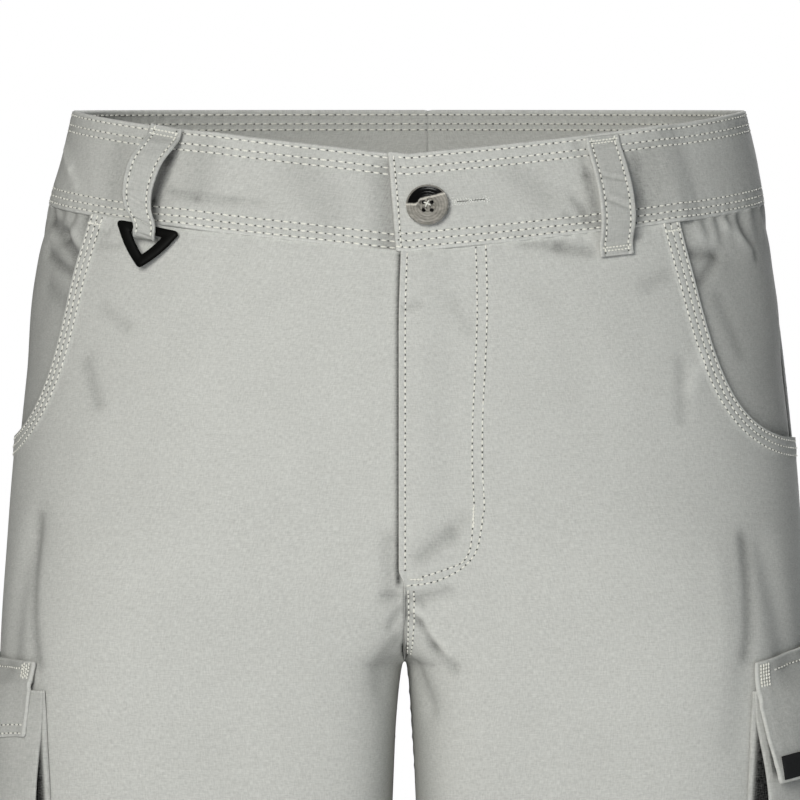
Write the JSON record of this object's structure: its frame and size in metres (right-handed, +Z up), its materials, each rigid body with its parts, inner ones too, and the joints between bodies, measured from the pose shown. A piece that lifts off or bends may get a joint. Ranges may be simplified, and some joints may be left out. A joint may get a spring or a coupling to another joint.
{
  "type": "men's cargo shorts",
  "caption": "Woven cargo shorts with a buttoned waistband, belt loops, curved front pockets, bellows cargo pockets and a hook ring on a belt loop, open as worn.",
  "frame": {"origin": "centre of the waist, halfway up the waistband at the sides", "axes": "+Z up, front toward -Y, the wearer's left side toward +X"},
  "size_m": [0.4235, 0.2574, 0.5284],
  "materials": {
    "twill": "matt",
    "thread": "soft sheen",
    "horn_button": "polished",
    "black_plastic": "gloss",
    "black_tape": "matt"
  },
  "bodies": {
    "shorts": {"front_left": "twill", "front_right": "twill", "back_left": "twill", "back_right": "twill", "facing_left": "twill", "facing_right": "twill", "waistband_left": "twill", "waistband_right": "twill", "loop_front_left": "twill", "loop_front_right": "twill", "loop_back_left": "twill", "loop_back_right": "twill", "loop_back_centre": "twill", "cargo_pocket_left": "twill", "cargo_pocket_right": "twill", "cargo_flap_left": "twill", "cargo_flap_right": "twill", "flap_label": "black_tape", "waist_button": "horn_button"},
    "ring": {"hook_ring": "black_plastic"}
  },
  "joints": [
    {"name": "ring_swing", "type": "hinge", "parent": "shorts", "child": "ring", "pos_m": [-0.12001, -0.09187, -0.03726], "axis": [-0.9523, 0.2338, 0.1963], "range_deg": [0, 90]}
  ]
}
